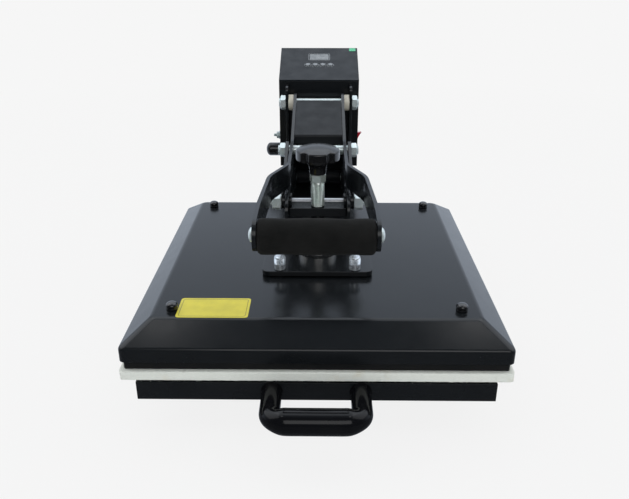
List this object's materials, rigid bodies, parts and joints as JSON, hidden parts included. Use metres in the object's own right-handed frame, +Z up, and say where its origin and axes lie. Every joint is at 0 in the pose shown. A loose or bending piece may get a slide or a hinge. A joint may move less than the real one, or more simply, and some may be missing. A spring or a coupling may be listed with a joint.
{
  "type": "clamshell heat press",
  "caption": "Clamshell heat press: bevelled heated head over a felt pad on a slide-out drawer, toggle handle lever with foam grip, star pressure knob and tilted control box.",
  "frame": {"origin": "on the table, under the middle of the whole machine, at the bottom of its feet", "axes": "+X to the operator's right, +Y to the back where the control box stands, +Z up"},
  "size_m": [0.3924, 0.5616, 0.3155],
  "materials": {
    "black_coat": "semi-gloss black powder coat",
    "grey_coat": "dark grey powder coat",
    "panel_film": "dark grey printed film",
    "gloss_plastic": "gloss black moulding",
    "matte_plastic": "satin black moulding",
    "rubber": "black rubber",
    "foam": "black foam tube",
    "zinc": "bright zinc plate",
    "chrome": "bright plated",
    "bare_steel": "machined steel",
    "platen_metal": "dark coated aluminium",
    "nylon": "ivory nylon",
    "felt": "off-white needled felt",
    "insulation": "mineral wool blanket",
    "window": "grey display",
    "red_plastic": "red moulding",
    "board": "circuit board",
    "button": "pale grey caps"
  },
  "bodies": {
    "root": {"base_frame": "black_coat", "foot_front_left": "rubber", "foot_front_right": "rubber", "foot_rear_left": "rubber", "foot_rear_right": "rubber", "column_channel": "black_coat", "top_pivot_bolt": "zinc", "rear_pivot_bolt": "zinc", "pivot_bush_left": "nylon", "pivot_bush_right": "nylon", "control_box_shell": "black_coat", "control_box_back": "black_coat", "power_inlet": "matte_plastic", "control_panel": "panel_film", "display_window": "window", "rocker_housing": "matte_plastic", "fuse_holder": "gloss_plastic", "earth_terminal": "zinc", "circuit_board": "board", "drawer_rail_outer_left": "zinc", "drawer_rail_outer_right": "zinc"},
    "drawer": {"drawer_tray": "black_coat", "lower_plate": "black_coat", "felt_pad": "felt", "drawer_handle": "gloss_plastic"},
    "middle_rails": {"drawer_rail_middle_left": "zinc", "drawer_rail_middle_right": "zinc"},
    "press_arm": {"arm_plate_left": "black_coat", "arm_plate_right": "black_coat", "arm_trunnion": "black_coat", "arm_tie_rod": "zinc"},
    "platen_head": {"platen_cover": "black_coat", "heating_platen": "platen_metal", "insulation_pad": "insulation", "flange_plate": "black_coat", "cover_knob_front_left": "gloss_plastic", "cover_knob_front_right": "gloss_plastic", "cover_knob_rear_left": "gloss_plastic", "cover_knob_rear_right": "gloss_plastic", "flange_bolt_front_left": "zinc", "flange_bolt_front_right": "zinc", "flange_bolt_rear_left": "zinc", "flange_bolt_rear_right": "zinc"},
    "knob_and_screw": {"pressure_screw": "chrome", "pressure_knob": "matte_plastic"},
    "handle_lever": {"lever_bar_left": "black_coat", "lever_bar_right": "black_coat", "lever_cover": "grey_coat", "knee_bolt": "zinc", "foam_grip": "foam", "grip_rod": "zinc"},
    "toggle_links": {"toggle_link_left": "black_coat", "toggle_link_right": "black_coat", "front_pivot_bolt_left": "zinc", "front_pivot_bolt_right": "zinc"},
    "rocker": {"rocker_switch": "red_plastic"},
    "mode_button": {"button_mode": "button"},
    "down_button": {"button_down": "button"},
    "up_button": {"button_up": "button"},
    "set_button": {"button_set": "button"}
  },
  "joints": [
    {"name": "handle_lift", "type": "hinge", "parent": "root", "child": "handle_lever", "pos_m": [0, 0.1817, 0.2537], "axis": [-1, 0, 0], "range_deg": [0, 102.23]},
    {"name": "arm_lift", "type": "hinge", "parent": "root", "child": "press_arm", "pos_m": [0, 0.2017, 0.137], "axis": [-1, 0, 0], "range_deg": [0, 45.2]},
    {"name": "link_turn", "type": "hinge", "parent": "handle_lever", "child": "toggle_links", "pos_m": [0, 0.0647, 0.2182], "axis": [-1, 0, 0], "range_deg": [-102.8, 0]},
    {"name": "pressure_turn", "type": "hinge", "parent": "platen_head", "child": "knob_and_screw", "pos_m": [0, -0.0413, 0.3], "axis": [0, 0, 1], "range_deg": [0, 1080]},
    {"name": "pressure_slide", "type": "slide", "parent": "press_arm", "child": "platen_head", "axis": [0, 0, 1], "range_m": [0, 0.006]},
    {"name": "drawer_slide", "type": "slide", "parent": "root", "child": "drawer", "axis": [0, -1, 0], "range_m": [0, 0.3]},
    {"name": "rail_slide", "type": "slide", "parent": "root", "child": "middle_rails", "axis": [0, -1, 0], "range_m": [0, 0.15]},
    {"name": "rocker_tilt", "type": "hinge", "parent": "root", "child": "rocker", "pos_m": [0.057, 0.2517, 0.186], "axis": [0, -1, 0], "range_deg": [0, 24]},
    {"name": "mode_press", "type": "slide", "parent": "root", "child": "mode_button", "axis": [0, 0.3784, -0.9256], "range_m": [0, 0.0006], "stiffness_N_per_m": 100},
    {"name": "down_press", "type": "slide", "parent": "root", "child": "down_button", "axis": [0, 0.3784, -0.9256], "range_m": [0, 0.0006], "stiffness_N_per_m": 100},
    {"name": "up_press", "type": "slide", "parent": "root", "child": "up_button", "axis": [0, 0.3784, -0.9256], "range_m": [0, 0.0006], "stiffness_N_per_m": 100},
    {"name": "set_press", "type": "slide", "parent": "root", "child": "set_button", "axis": [0, 0.3784, -0.9256], "range_m": [0, 0.0006], "stiffness_N_per_m": 100}
  ],
  "couplings": [
    {"joint": "arm_lift", "follows": "handle_lift", "ratio": 0.44017},
    {"joint": "link_turn", "follows": "handle_lift", "ratio": -1.0025},
    {"joint": "rail_slide", "follows": "drawer_slide", "ratio": 0.5},
    {"joint": "pressure_turn", "follows": "pressure_slide", "rad_per_m": 3141.6}
  ]
}
